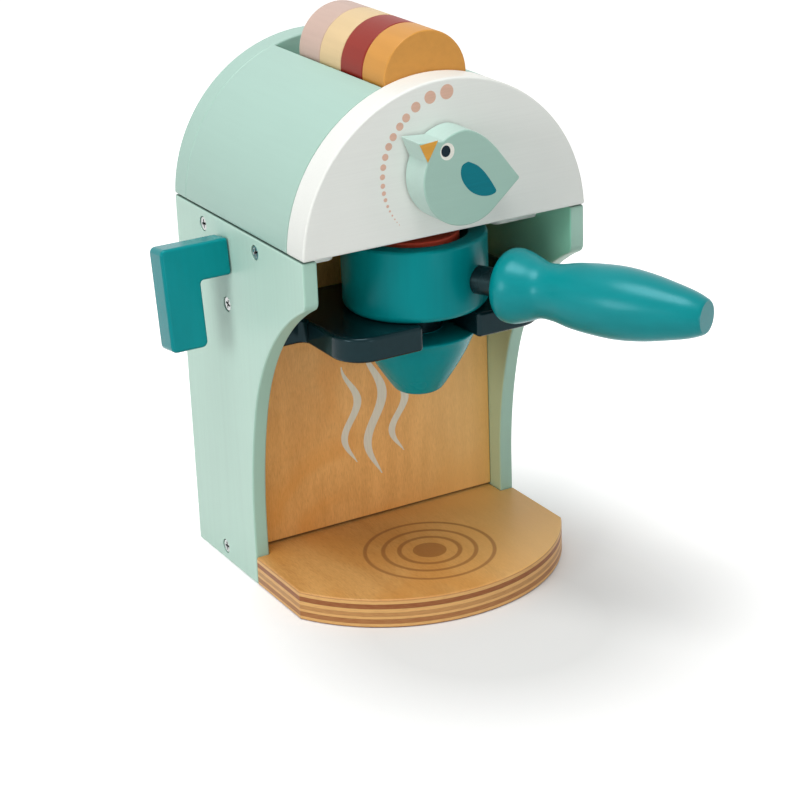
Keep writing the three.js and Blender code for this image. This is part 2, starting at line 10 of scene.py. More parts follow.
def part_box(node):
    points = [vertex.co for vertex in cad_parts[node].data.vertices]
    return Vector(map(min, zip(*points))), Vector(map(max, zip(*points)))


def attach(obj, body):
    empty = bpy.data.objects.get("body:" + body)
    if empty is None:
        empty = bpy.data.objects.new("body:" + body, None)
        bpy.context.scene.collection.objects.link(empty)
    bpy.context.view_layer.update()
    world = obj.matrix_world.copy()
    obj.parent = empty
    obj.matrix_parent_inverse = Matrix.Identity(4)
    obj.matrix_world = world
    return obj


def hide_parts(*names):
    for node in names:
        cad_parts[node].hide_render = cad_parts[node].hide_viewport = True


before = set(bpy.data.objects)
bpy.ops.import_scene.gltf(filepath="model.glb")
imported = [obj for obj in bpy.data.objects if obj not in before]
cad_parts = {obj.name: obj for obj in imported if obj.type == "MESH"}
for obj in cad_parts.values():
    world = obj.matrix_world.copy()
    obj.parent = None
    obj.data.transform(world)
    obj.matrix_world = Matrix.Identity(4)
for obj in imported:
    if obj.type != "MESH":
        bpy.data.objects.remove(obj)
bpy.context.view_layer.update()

# The place it stands on: a plain pale floor under soft light, seen from the left of the front and a
# little from above, through a long lens that keeps the boards' edges nearly parallel.
camera_place = (-0.54499, -0.91857, 0.53959)
camera_azimuth = math.radians(-29.247)
camera_elevation = math.radians(21.846)
camera_roll = math.radians(-2.181)
lens_length = 103.574
quarter_turn = math.pi / 2
full_turn = 2 * math.pi

camera = bpy.data.objects.new("camera", bpy.data.cameras.new("camera"))
camera.data.lens = lens_length
camera.matrix_world = (
    Matrix.Translation(camera_place)
    @ Matrix.Rotation(camera_azimuth, 4, "Z")
    @ Matrix.Rotation(quarter_turn - camera_elevation, 4, "X")
    @ Matrix.Rotation(camera_roll, 4, "Z")
)
bpy.context.scene.collection.objects.link(camera)
bpy.context.scene.camera = camera
bpy.context.scene.view_settings.view_transform = "Standard"

world_light = 0.45
world = bpy.data.worlds.new("studio")
world.use_nodes = True
world_nodes = world.node_tree.nodes
world_links = world.node_tree.links
world_nodes.clear()
around = world_nodes.new("ShaderNodeBackground")
around.inputs["Strength"].default_value = world_light
behind = world_nodes.new("ShaderNodeBackground")
behind.inputs["Color"].default_value = (1, 1, 1, 1)
seen = world_nodes.new("ShaderNodeLightPath")
either = world_nodes.new("ShaderNodeMixShader")
world_out = world_nodes.new("ShaderNodeOutputWorld")
in_view = seen.outputs["Is Camera Ray"]
for ray in ("Is Glossy Ray", "Is Transmission Ray"):
    either_ray = world_nodes.new("ShaderNodeMath")
    either_ray.operation = "MAXIMUM"
    world_links.new(in_view, either_ray.inputs[0])
    world_links.new(seen.outputs[ray], either_ray.inputs[1])
    in_view = either_ray.outputs[0]
world_links.new(in_view, either.inputs["Fac"])
world_links.new(around.outputs["Background"], either.inputs[1])
world_links.new(behind.outputs["Background"], either.inputs[2])
world_links.new(either.outputs["Shader"], world_out.inputs["Surface"])
bpy.context.scene.world = world

# Each lamp's place, the point that it is turned to, its width and its power.
lamps = {
    "lamp_above": ((-0.3, -0.2, 1.5), (0, 0.05, 0.15), 0.8, 13.4),
    "lamp_left": ((-1.6, -0.4, 0.55), (0, 0.05, 0.13), 0.65, 7.45),
    "lamp_front": ((0.08, -1.9, 0.16), (0, 0, 0.12), 0.26, 3.4),
    "lamp_right": ((1.3, -1.0, 0.6), (0, 0, 0.15), 0.25, 1.2),
}
for name, (place, aim, width, power) in lamps.items():
    lamp = bpy.data.objects.new(name, bpy.data.lights.new(name, "AREA"))
    lamp.data.shape = "DISK"
    lamp.data.size = width
    lamp.data.energy = power
    lamp.location = place
    lamp.rotation_euler = (Vector(aim) - Vector(place)).to_track_quat("-Z", "Y").to_euler()
    bpy.context.scene.collection.objects.link(lamp)


class Value:
    """A node's output in a finish. Sums and products of it add Math nodes."""

    def __init__(self, finish, socket):
        self.finish = finish
        self.socket = socket

    def maths(self, operation, *values):
        return self.finish.node("ShaderNodeMath", {"operation": operation}, dict(enumerate(values)))

    def __add__(self, other):
        return self.maths("ADD", self, other)

    def __sub__(self, other):
        return self.maths("SUBTRACT", self, other)

    def __mul__(self, other):
        return self.maths("MULTIPLY", self, other)

    def __rsub__(self, other):
        return self.maths("SUBTRACT", other, self)

    def __abs__(self):
        return self.maths("ABSOLUTE", self)

    __radd__ = __add__
    __rmul__ = __mul__


class Finish:
    """A material whose patterns are laid out in the piece's own place."""

    def __init__(self, name, coat=0.0, coat_roughness=0.3, metallic=0.0, shine=0.5, sheen=(1, 1, 1)):
        self.material = bpy.data.materials.new(name)
        self.material.use_nodes = True
        self.tree = self.material.node_tree
        self.shader = self.tree.nodes["Principled BSDF"]
        looks = {
            "Coat Weight": coat, "Coat Roughness": coat_roughness, "Metallic": metallic,
            "Specular IOR Level": shine, "Specular Tint": (*sheen, 1),
        }
        for socket, value in looks.items():
            self.shader.inputs[socket].default_value = value
        self.places = self.node("ShaderNodeTexCoord", output="Object")

    def node(self, kind, settings=(), inputs=(), output=0):
        made = self.tree.nodes.new(kind)
        for setting, value in dict(settings).items():
            setattr(made, setting, value)
        for socket, value in dict(inputs).items():
            if isinstance(value, Value):
                self.tree.links.new(value.socket, made.inputs[socket])
            else:
                made.inputs[socket].default_value = value
        return Value(self, made.outputs[output])

    def feed(self, socket, value):
        self.tree.links.new(value.socket, self.shader.inputs[socket])

    def noise(self, places, scale, detail=2.0, distortion=0.0):
        inputs = {"Vector": places, "Scale": scale, "Detail": detail, "Distortion": distortion}
        return self.node("ShaderNodeTexNoise", {}, inputs)

    def stretched(self, scales):
        return self.node("ShaderNodeMapping", {}, {"Vector": self.places, "Scale": scales})

    def along(self, axis):
        return self.node("ShaderNodeSeparateXYZ", {}, {"Vector": self.places}, axis)

    def step(self, value, start, end, low=0.0, high=1.0):
        inputs = {"Value": value, "From Min": start, "From Max": end, "To Min": low, "To Max": high}
        return self.node("ShaderNodeMapRange", {"interpolation_type": "SMOOTHSTEP"}, inputs)

    def mixed(self, share, first, second):
        inputs = {0: share, 6: first, 7: second}
        return self.node("ShaderNodeMix", {"data_type": "RGBA"}, inputs, 2)

    def colour(self, share, first, second):
        self.feed("Base Color", self.mixed(share, first, second))

    def relief(self, height, depth):
        inputs = {"Height": height, "Distance": depth}
        self.feed("Normal", self.node("ShaderNodeBump", {}, inputs))


# The floor is light grey around the base, with the shadow on it, and fades to white further away.
floor_span = 5
floor_colour = (0.74, 0.74, 0.73, 1)
floor_roughness = 0.9
floor_middle = (0, -0.03, 0)
near_glow = 0.08
far_glow = 0.72
near_floor = 0.06
far_floor = 0.22
bpy.ops.mesh.primitive_plane_add(size=floor_span)
floor = bpy.context.object
floor.name = "floor"
floor_paint = Finish("floor_paint", shine=0)
floor_paint.shader.inputs["Base Color"].default_value = floor_colour
floor_paint.shader.inputs["Roughness"].default_value = floor_roughness
floor_paint.shader.inputs["Emission Strength"].default_value = 1
floor_away = floor_paint.node(
    "ShaderNodeVectorMath", {"operation": "DISTANCE"}, {0: floor_paint.places, 1: floor_middle}, "Value"
)
fade = {"From Min": near_floor, "From Max": far_floor, "To Min": near_glow, "To Max": far_glow}
floor_glow = floor_paint.node("ShaderNodeMapRange", {}, {"Value": floor_away, **fade})
floor_seen = floor_paint.node("ShaderNodeLightPath", output="Is Camera Ray")
floor_mirrored = floor_paint.node("ShaderNodeLightPath", output="Is Glossy Ray")
floor_shows = floor_seen.maths("MAXIMUM", floor_seen, floor_mirrored)
floor_paint.feed("Emission Color", floor_shows * floor_glow)
floor.data.materials.append(floor_paint.material)


# Base board: plywood, bowed at the front and narrower between the legs. Its edge shows the layers, and
# rings are stained into its top. It is sawn, eased at the edges and varnished.
def ink(red, green, blue, lightness=1.0):
    """A paint's colour as it is seen on a screen, made linear and a little lighter or darker."""
    def linear(part):
        share = part / 255
        return share / 12.92 if share <= 0.04045 else ((share + 0.055) / 1.055) ** 2.4
    return tuple(min(1, linear(part) * lightness) for part in (red, green, blue)) + (1,)


def activate(piece):
    bpy.ops.object.select_all(action="DESELECT")
    bpy.context.view_layer.objects.active = piece
    piece.select_set(True)


def settled(piece, name):
    """Moves a piece's place, turn and size into its mesh, and names it."""
    bpy.ops.object.transform_apply(location=True, rotation=True, scale=True)
    piece.name = name
    piece.data.name = name
    return piece


def added(shape, **sizes):
    """Adds a plain mesh, with nothing else selected."""
    bpy.ops.object.select_all(action="DESELECT")
    shape(**sizes)
    return bpy.context.object


def block(name, corner, opposite):
    middle = (Vector(corner) + Vector(opposite)) / 2
    piece = added(bpy.ops.mesh.primitive_cube_add, size=1, location=middle)
    piece.scale = [abs(part) for part in Vector(opposite) - Vector(corner)]
    return settled(piece, name)


def round_block(name, centre, radius, depth, turn=(0, 0, 0), sides=128):
    piece = added(
        bpy.ops.mesh.primitive_cylinder_add,
        vertices=sides, radius=radius, depth=depth, location=centre, rotation=turn,
    )
    return settled(piece, name)


def leave_editing():
    bpy.ops.object.mode_set(mode="OBJECT")


def saw_off(piece, place, facing):
    """Saws off what lies beyond a plane, on the side that it faces."""
    activate(piece)
    bpy.ops.object.mode_set(mode="EDIT")
    bpy.ops.mesh.select_all(action="SELECT")
    bpy.ops.mesh.bisect(plane_co=place, plane_no=facing, use_fill=True, clear_outer=True)
    leave_editing()


def draw_out(move):
    """Draws the selected face or point out by a move, with walls or an edge behind it."""
    bpy.ops.mesh.extrude_region_move(TRANSFORM_OT_translate={"value": move})


def choose(piece, kind, wanted):
    """Goes into edit mode and selects the edges or the faces that pass a test."""
    activate(piece)
    bpy.ops.object.mode_set(mode="EDIT")
    bpy.ops.mesh.select_mode(type=kind)
    bpy.ops.mesh.select_all(action="DESELECT")
    mesh = bmesh.from_edit_mesh(piece.data)
    for part in mesh.edges if kind == "EDGE" else mesh.faces:
        if wanted(part):
            part.select_set(True)
    bmesh.update_edit_mesh(piece.data)


def modified(piece, kind, **settings):
    activate(piece)
    modifier = piece.modifiers.new(kind, kind)
    for setting, value in settings.items():
        setattr(modifier, setting, value)
    bpy.ops.object.modifier_apply(modifier=modifier.name)


def cut_out(piece, tool):
    modified(piece, "BOOLEAN", operation="DIFFERENCE", solver="EXACT", object=tool)
    bpy.data.objects.remove(tool)


def round_corners(piece, radius, segments, wanted):
    """Rounds the edges that pass a test, as on a sanding wheel."""
    choose(piece, "EDGE", wanted)
    bpy.ops.mesh.bevel(offset=radius, offset_type="OFFSET", segments=segments, affect="EDGES")
    leave_editing()


smooth_angle = math.radians(40)
square_on = 0.99
hair = 0.0001
speck = 0.000001


def smoothed(piece):
    """Shades the flats flat and the curves smooth."""
    activate(piece)
    bpy.ops.object.shade_smooth_by_angle(angle=smooth_angle)


def rounded_over(piece, width, segments=3):
    """Takes the sharpness off every edge that is still sharp."""
    modified(
        piece, "BEVEL", width=width, segments=segments, limit_method="ANGLE",
        angle_limit=smooth_angle, use_clamp_overlap=True,
    )


def eased(piece, width, segments=3):
    """Rounds the edges over and smooths the shading, with the flats kept flat up to the roundings."""
    rounded_over(piece, width, segments)
    smoothed(piece)
    modified(piece, "WEIGHTED_NORMAL", keep_sharp=True)


def coated(piece, finish):
    piece.data.materials.clear()
    piece.data.materials.append(finish.material)


def fitted(piece, finish, body, slot, *nodes):
    """Gives a piece its finish, sets it on its body and lets it stand for its nodes."""
    coated(piece, finish)
    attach(piece, body)
    if nodes:
        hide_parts(*nodes)


def runs_along(edge, axis):
    """Tells whether an edge is parallel to an axis: 0, 1 or 2."""
    run = [abs(part) for part in edge.verts[0].co - edge.verts[1].co]
    length = run.pop(axis)
    return max(run) < speck < length


def near(edge, **places):
    """Tells whether an edge's middle lies at the given x, y or z."""
    middle = (edge.verts[0].co + edge.verts[1].co) / 2
    return all(abs(getattr(middle, axis) - place) < hair for axis, place in places.items())


base_low, base_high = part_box("base_board")
base_bow = 0.04657
leg_front = 0.0728
leg_thickness = 0.008
glue_line = 0.00005
board_easing = 0.0012
bow_radius = (base_high.x**2 + base_bow**2) / (2 * base_bow)
bow_centre = base_low.y + bow_radius
base_top = base_high.z

base = round_block("base", (0, bow_centre, base_top / 2), bow_radius, base_top, sides=360)
saw_off(base, (0, bow_centre, 0), (0, 1, 0))
choose(base, "FACE", lambda face: face.normal.y > square_on)
draw_out((0, base_high.y - bow_centre, 0))
leave_editing()
for side in (-1, 1):
    saw_off(base, (side * base_high.x, 0, 0), (side, 0, 0))
    cut_out(base, block(
        "leg_room",
        (side * (base_high.x - leg_thickness - glue_line), leg_front - glue_line, -base_top),
        (side * (base_high.x + base_top), base_high.y + base_top, 2 * base_top),
    ))
eased(base, board_easing)

honey = (220, 168, 101)
honey_dark = (186, 130, 66)
honey_deep = (204, 138, 62)
honey_fleck = (140, 86, 38)
ring_stain = ink(140, 82, 40)
ply_dark = ink(146, 82, 38)
ply_pale = ink(226, 176, 108)
# Painted light: a paler honey that the base's top grows towards on its right, where it lies in shade.
painted_light_pale = ink(255, 210, 132)
painted_light_start = -0.02
painted_light_end = 0.07
painted_light_share = 0.66
ring_centre = (0, 0.0289, 0)
rings = ((0.0341, 0.001), (0.0245, 0.0011), (0.016, 0.0012))
spot_radius = 0.0086
stain_edge = 0.0005
stain_strength = 0.66
varnish_gloss = 0.36
varnish_depth = 0.00006
fleck_share = 0.19
glow_scale = 16
glow_share = 0.5


def varnished(name, along_grain, lightness=1.0):
    """Honey-coloured veneer under satin varnish: a soft figure, short fibres and darker flecks."""
    finish = Finish(name, coat=0.1, coat_roughness=0.28, shine=0.35)
    blotches, bands, flecks, fibres = along_grain
    figure = finish.noise(finish.stretched(blotches), 1, 2, 0.6)
    streaks = finish.noise(finish.stretched(bands), 1, 4, 0.2)
    fine = finish.noise(finish.stretched(fibres), 1, 3)
    tone = finish.step(figure * 0.35 + streaks * 0.25 + fine * 0.4, 0.27, 0.73)
    dashes = finish.step(finish.noise(finish.stretched(flecks), 1, 2), 0.54, 0.72)
    timber = finish.mixed(tone, ink(*honey_dark, lightness), ink(*honey, lightness))
    glow = finish.step(finish.noise(finish.places, glow_scale, 2, 0.8), 0.42, 0.62, glow_share, 0)
    timber = finish.mixed(glow, timber, ink(*honey_deep, lightness))
    timber = finish.mixed(dashes * fleck_share, timber, ink(*honey_fleck, lightness))
    finish.feed("Roughness", varnish_gloss + figure * 0.14)
    finish.relief(fine * 0.7 + streaks * 0.3 - dashes * 0.3, varnish_depth)
    return finish, timber


base_lightness = 1.06
base_finish, base_timber = varnished(
    "base_varnish", [(38, 14, 20), (160, 14, 60), (1500, 240, 300), (2400, 300, 900)], base_lightness
)
seen_from_above = base_finish.node(
    "ShaderNodeVectorMath", {"operation": "MULTIPLY"}, {0: base_finish.places, 1: (1, 1, 0)}
)
from_ring_centre = base_finish.node(
    "ShaderNodeVectorMath", {"operation": "DISTANCE"}, {0: seen_from_above, 1: ring_centre}, "Value"
)
stain = base_finish.step(from_ring_centre, spot_radius, spot_radius + stain_edge, 1, 0)
for radius, half_width in rings:
    away = abs(from_ring_centre - radius)
    stain = stain + base_finish.step(away, half_width - stain_edge, half_width + stain_edge, 1, 0)
# Painted light: the top grows paler towards the right, making up for the shade cast over it there.
painted_light_right = base_finish.step(base_finish.along("X"), painted_light_start, painted_light_end)
base_timber = base_finish.mixed(painted_light_right * painted_light_share, base_timber, painted_light_pale)
veneer = 0.0004
veneer_blur = 0.0002
height = base_finish.along("Z")
on_top = base_finish.step(height, base_top - veneer, base_top - veneer_blur)
base_timber = base_finish.mixed(stain * on_top * stain_strength, base_timber, ring_stain)

# The darker plies and the painted shade at the bottom, each from one height to a lower one, with how
# dark it is.
dark_plies_and_bottom_shade = (
    (0.0165, 0.0151, 0.6), (0.0135, 0.0108, 1), (0.0089, 0.0065, 0.5), (0.0052, 0.0025, 0.8),
    # The last band is partly a dark ply and partly painted shade along the bottom edge, where the board
    # meets the floor.
    (0.0009, -0.001, 1),
)
ply_blur = 0.0003
ply_fibres = (220, 220, 2200)
darkness = 0 * height
for upper, lower, share in dark_plies_and_bottom_shade:
    below = base_finish.step(height, upper - ply_blur, upper, 1, 0)
    above = base_finish.step(height, lower - ply_blur, lower)
    darkness = darkness + below * above * share
ply_grain = base_finish.noise(base_finish.stretched(ply_fibres), 1, 4)
plies = base_finish.mixed(darkness * (0.7 + ply_grain * 0.5), ply_pale, ply_dark)
plies = base_finish.mixed(base_finish.step(ply_grain, 0.45, 0.75) * 0.25, plies, ply_dark)
on_edge = base_finish.step(height, base_top - veneer - ply_blur, base_top - veneer, 1, 0)
base_finish.colour(on_edge, base_timber, plies)
fitted(base, base_finish, "machine", "plywood", "base_board")


# Side panels: each is one board, a leg that sweeps forward in an arc to a short nose under the housing.
# They are painted mint green, with painted shade on the sawn edges and in deeper green on the inside,
# and four countersunk screws go through each into the boards between them.
nose_height = 0.0244
leg_straight = 0.033
lower_sweep_radius = 0.24
sweep_bend = math.radians(16.3)
nose_radius = 0.005
nose_segments = 10
upper_sweep_segments = 60
lower_sweep_segments = 24
panel_low, panel_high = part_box("left_side_panel")
nose_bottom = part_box("front_panel")[0].z - nose_height
outward = Vector((0, math.cos(sweep_bend), math.sin(sweep_bend)))
lower_centre = Vector((panel_low.x, leg_front - lower_sweep_radius, leg_straight))
bend = lower_centre + lower_sweep_radius * outward
chord = Vector((panel_low.x, panel_low.y, nose_bottom)) - bend
upper_sweep_radius = -chord.length_squared / (2 * chord.dot(outward))
upper_centre = bend - upper_sweep_radius * outward


def arc(centre_across, centre_up, radius, start, end, steps):
    """Points of a rounding in an outline, between two angles in degrees."""
    points = []
    for step in range(steps + 1):
        angle = math.radians(start + (end - start) * step / steps)
        points.append(
            (centre_across + radius * math.cos(angle), centre_up + radius * math.sin(angle))
        )
    return points


def angle_of(point):
    return math.degrees(math.atan2(point[1], point[0]))


def nosed(edge, cut_centre, cut_radius, radius, steps):
    """Points of the rounding where a board's front edge meets a round cut, and the cut's angle there."""
    across = edge + radius
    away = across - cut_centre[0]
    rise = math.sqrt((cut_radius + radius) ** 2 - away**2)
    cut_angle = angle_of((away, rise))
    return arc(across, cut_centre[1] + rise, radius, 180, 180 + cut_angle, steps), cut_angle


def sawn(name, outline, start, end, axis):
    """A board sawn to an outline: a ring of corners moved onto it and drawn out along an axis."""
    piece = added(bpy.ops.mesh.primitive_circle_add, vertices=len(outline), fill_type="NGON")
    for corner, (across, up) in zip(piece.data.vertices, outline):
        place = [across, up]
        place.insert(axis, start)
        corner.co = place
    choose(piece, "FACE", lambda face: True)
    draw = [0, 0, 0]
    draw[axis] = end - start
    draw_out(draw)
    bpy.ops.mesh.select_all(action="SELECT")
    bpy.ops.mesh.normals_make_consistent(inside=False)
    leave_editing()
    return settled(piece, name)


def another(piece):
    """Makes a second piece like the first one, to be placed."""
    copy = piece.copy()
    copy.data = piece.data.copy()
    bpy.context.scene.collection.objects.link(copy)
    activate(copy)
    return copy


nose, sweep_start = nosed(
    panel_low.y, upper_centre.yz, upper_sweep_radius, nose_radius, nose_segments
)
sweep_end = math.degrees(sweep_bend)
panel_outline = [
    (panel_high.y, panel_low.z), (panel_high.y, panel_high.z), (panel_low.y, panel_high.z)
]
panel_outline += nose
panel_outline += arc(
    *upper_centre.yz, upper_sweep_radius, sweep_start, sweep_end, upper_sweep_segments
)[1:]
panel_outline += arc(*lower_centre.yz, lower_sweep_radius, sweep_end, 0, lower_sweep_segments)[1:]
panel_outline += [(leg_front, panel_low.z)]
left_panel = sawn("left_panel", panel_outline, panel_low.x, panel_high.x, 0)
rounded_over(left_panel, board_easing)
right_panel = another(left_panel)
right_panel.location.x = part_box("right_side_panel")[0].x - panel_low.x
settled(right_panel, "right_panel")

screw_head_radius = 0.0036
screw_room = 0.0003
countersink_depth = 0.003
countersink_easing = 0.00015
side_screws = {
    "collar_front": (0.052, 0.1895),
    "collar_rear": (0.1105, 0.1895),
    "back_board": (0.088, 0.1525),
    "base": (0.1095, 0.008),
}


def countersunk(piece, place, turn):
    """Drills the room for a screw's head, with the middle of its mouth at a place."""
    radius = screw_head_radius + screw_room
    cut_out(piece, round_block("head_room", place, radius, 2 * countersink_depth, turn, sides=48))


for panel, outside in ((left_panel, panel_low.x), (right_panel, -panel_low.x)):
    for set_back, height_up in side_screws.values():
        countersunk(panel, (outside, set_back, height_up), (0, quarter_turn, 0))
    eased(panel, countersink_easing, 2)


def painted(name, colour, grain, gloss=0.4, contrast=0.02, depth=0.00002, **shader):
    """Satin paint over sanded wood: the grain shows faintly through it, with a fine orange peel."""
    finish = Finish(name, coat_roughness=0.25, **shader)
    clouds = finish.noise(finish.places, 30, 3)
    fibres = finish.noise(finish.stretched(grain), 1, 4, 0.1)
    peel = finish.noise(finish.places, 1800, 1)
    tone = finish.step(clouds * 0.4 + fibres * 0.6, 0.3, 0.7)
    finish.paint = finish.mixed(tone, ink(*colour, 1 - contrast), ink(*colour, 1 + contrast))
    finish.feed("Base Color", finish.paint)
    finish.feed("Roughness", gloss - 0.05 + clouds * 0.1)
    finish.relief(fibres * 0.5 + peel * 0.5, depth)
    return finish


mint = (188, 220, 206)
# Painted shade: a darker mint for the sawn edges, and a deeper green for the inner faces, greener
# towards the top.
mint_edge_shade = ink(164, 202, 186)
inside_shade_top = ink(156, 225, 196)
inside_shade_low = ink(180, 205, 172)
inside_low = 0.13
inside_top = 0.17
joint_shade = ink(44, 66, 58)
joint_share = 0.65
skin = 0.0002
upright_grain = (420, 500, 12)
panel_finish = painted("mint_panel_paint", mint, upright_grain)
panel_across = abs(panel_finish.along("X"))
panel_up = panel_finish.along("Z")
outer_face = -panel_low.x
inner_face = outer_face - leg_thickness
# Masks for the painted shade: the inner faces, and everything off the outer face for the sawn edges.
on_inside = panel_finish.step(panel_across, inner_face + skin, inner_face + 2 * skin, 1, 0)
off_outside = panel_finish.step(panel_across, outer_face - 2 * skin, outer_face - skin, 1, 0)
inside_shade_paint = panel_finish.mixed(
    panel_finish.step(panel_up, inside_low, inside_top), inside_shade_low, inside_shade_top
)
panel_paint = panel_finish.mixed(off_outside, panel_finish.paint, mint_edge_shade)
panel_paint = panel_finish.mixed(on_inside, panel_paint, inside_shade_paint)
in_joint = panel_finish.step(panel_up, panel_high.z - 3 * skin, panel_high.z - skin / 2)
panel_finish.colour(in_joint * joint_share, panel_paint, joint_shade)
fitted(left_panel, panel_finish, "machine", "mint_paint", "left_side_panel")
fitted(right_panel, panel_finish, "machine", "mint_paint", "right_side_panel")


# Screws: plated steel, countersunk, with a cross recess. Four go through each side panel, two through
# the back board into the fork, and four up through the collar board into the housing.
screw_sink = 0.0005
shank_radius = 0.0018
head_depth = 0.0024
screw_edge = 0.00025
slot_width = 0.0011
slot_length = 0.0046
slot_depth = 0.0016
slot_shade_depth = 0.0006
shank_length = 0.018
point_length = 0.003
point_share = 0.3
screw = round_block("screw", (0, 0, -head_depth / 2), screw_head_radius, head_depth, sides=48)
choose(screw, "FACE", lambda face: face.normal.z < -square_on)
taper = shank_radius / screw_head_radius
bpy.ops.transform.resize(value=(taper, taper, 1), center_override=(0, 0, -head_depth))
draw_out((0, 0, -shank_length))
draw_out((0, 0, -point_length))
point_end = (0, 0, -head_depth - shank_length - point_length)
bpy.ops.transform.resize(value=(point_share, point_share, 1), center_override=point_end)
leave_editing()
for along, across in ((slot_length, slot_width), (slot_width, slot_length)):
    slot_cut = block(
        "slot_cut", (-along / 2, -across / 2, -slot_depth), (along / 2, across / 2, slot_depth)
    )
    cut_out(screw, slot_cut)
eased(screw, screw_edge, 2)
# Painted shade: the cross slots grow dark with depth and the rim of each head is dark, where they lie in
# shade.
slot_reach = 0.6 * slot_length
recess_shade = screw.data.attributes.new("recess_shade", "FLOAT", "POINT")
for corner, mark in zip(screw.data.vertices, recess_shade.data):
    in_slot = max(abs(corner.co.x), abs(corner.co.y)) < slot_reach
    on_rim = corner.co.xy.length > screw_head_radius - screw_edge / 2
    mark.value = min(1, max(0, -corner.co.z / slot_shade_depth)) if in_slot else on_rim

steel_dull = ink(176, 180, 180)
steel_bright = ink(214, 216, 215)
# The colour of the painted shade in the slots and round the heads' rims.
slot_shade_black = ink(24, 26, 26)
steel = Finish("screw_steel", metallic=1.0)
steel_clouds = steel.noise(steel.places, 900, 3)
steel_recess_shade = steel.node("ShaderNodeAttribute", {"attribute_name": "recess_shade"}, {}, "Fac")
clean_steel = steel.mixed(steel_clouds, steel_dull, steel_bright)
steel.colour(steel_recess_shade, clean_steel, slot_shade_black)
steel.feed("Roughness", 0.22 + steel_clouds * 0.2 + steel_recess_shade * 0.4)
steel.relief(steel.noise(steel.places, 4200, 2), 0.00002)

facing_left = (0, -quarter_turn, 0)
facing_right = (0, quarter_turn, 0)
facing_back = (-quarter_turn, 0, 0)
facing_down = (math.pi, 0, 0)
panel_face = base_high.x - screw_sink
fork_screw_across = 0.045
fork_screw_back = 0.0928
fork_screw_up = 0.1465
housing_screw_across = 0.054
housing_screw_up = 0.1847
screw_places = {}
for place, (set_back, height_up) in side_screws.items():
    screw_places[f"left_{place}_screw"] = ((-panel_face, set_back, height_up), facing_left)
    screw_places[f"right_{place}_screw"] = ((panel_face, set_back, height_up), facing_right)
for side, sign in (("left", -1), ("right", 1)):
    place = (sign * fork_screw_across, fork_screw_back, fork_screw_up)
    screw_places[f"{side}_fork_screw"] = (place, facing_back)
    for row, set_back in (("front", 0.068), ("rear", 0.124)):
        name = f"{side}_housing_screw_{row}"
        place = (sign * housing_screw_across, set_back, housing_screw_up)
        screw_places[name] = (place, facing_down)
recess_turns = (0.4, 1.1, 0.2, 0.9, 1.3, 0.6, 0.1, 0.75, 1.0, 0.3, 0.5, 1.2, 0.8, 0.15)
for (name, (place, turn)), recess_turn in zip(screw_places.items(), recess_turns):
    copy = another(screw)
    copy.rotation_euler = (0, 0, recess_turn)
    bpy.ops.object.transform_apply(rotation=True)
    copy.rotation_euler = turn
    copy.location = place
    settled(copy, name.replace("screw", "steel"))
    fitted(copy, steel, "machine", "screw_steel", name)
bpy.data.objects.remove(screw)


# Housing: two solid half-barrels with the hopper between them, and a half-round panel on each end. All
# are mint green but the front panel, which is white, with a row of pink dots.
arch_centre_drop = 0.0035
arch_sides = 288
shell_easing = 0.0004
front_low, front_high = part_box("front_panel")
rear_low, rear_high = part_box("rear_panel")
housing_underside = front_low.z
arch_radius = math.hypot(front_high.x, arch_centre_drop)
arch_centre_height = housing_underside - arch_centre_drop
shell_low, shell_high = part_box("right_shell")
hopper_side = shell_low.x


def barrel(name, low, high, side=0):
    """A slice of the housing's half-round between two planes, or only its part beside the hopper."""
    middle = (0, (low + high) / 2, arch_centre_height)
    piece = round_block(name, middle, arch_radius, high - low, (quarter_turn, 0, 0), sides=arch_sides)
    saw_off(piece, (0, 0, housing_underside), (0, 0, -1))
    if side:
        saw_off(piece, (side * hopper_side, 0, 0), (-side, 0, 0))
    return piece


front = barrel("front_board", front_low.y, front_high.y)
rear = barrel("rear_board", rear_low.y, rear_high.y)
eased(front, board_easing, 4)
eased(rear, board_easing, 4)
left_barrel = barrel("left_barrel", shell_low.y, shell_high.y, -1)
right_barrel = barrel("right_barrel", shell_low.y, shell_high.y, 1)
for piece in (left_barrel, right_barrel):
    round_corners(
        piece, board_easing, 3,
        lambda edge: runs_along(edge, 1) and near(edge, z=housing_underside)
        and abs(edge.verts[0].co.x) > hopper_side + board_easing,
    )
    eased(piece, shell_easing)

barrel_mint = (166, 199, 187)
# Painted shade: the hopper's walls get a deeper, greener mint, for the shaded light that bounces between
# them.
hopper_wall_shade = ink(166, 234, 219)
barrel_grain = (320, 14, 320)
across_grain = (14, 900, 1100)
barrel_finish = painted("mint_barrel_paint", barrel_mint, barrel_grain, contrast=0.012)
barrel_across = abs(barrel_finish.along("X"))
on_hopper_wall = barrel_finish.step(
    barrel_across, hopper_side + skin / 2, hopper_side + 1.5 * skin, 1, 0
)
barrel_paint = barrel_finish.mixed(on_hopper_wall, barrel_finish.paint, hopper_wall_shade)
over_joint = barrel_finish.step(
    barrel_finish.along("Z"), housing_underside + skin / 2, housing_underside + 2.5 * skin, 1, 0
)
barrel_finish.colour(over_joint * joint_share, barrel_paint, joint_shade)
rear_finish = painted("mint_rear_paint", barrel_mint, across_grain)
white = (233, 235, 230)
front_finish = painted("white_front_paint", white, across_grain, gloss=0.46, contrast=0.016)
fitted(front, front_finish, "machine", "front_paint", "front_panel")
fitted(rear, rear_finish, "machine", "mint_paint", "rear_panel")
fitted(left_barrel, barrel_finish, "machine", "mint_paint", "left_shell")
fitted(right_barrel, barrel_finish, "machine", "mint_paint", "right_shell")

coated(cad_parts["hopper_floor"], barrel_finish)

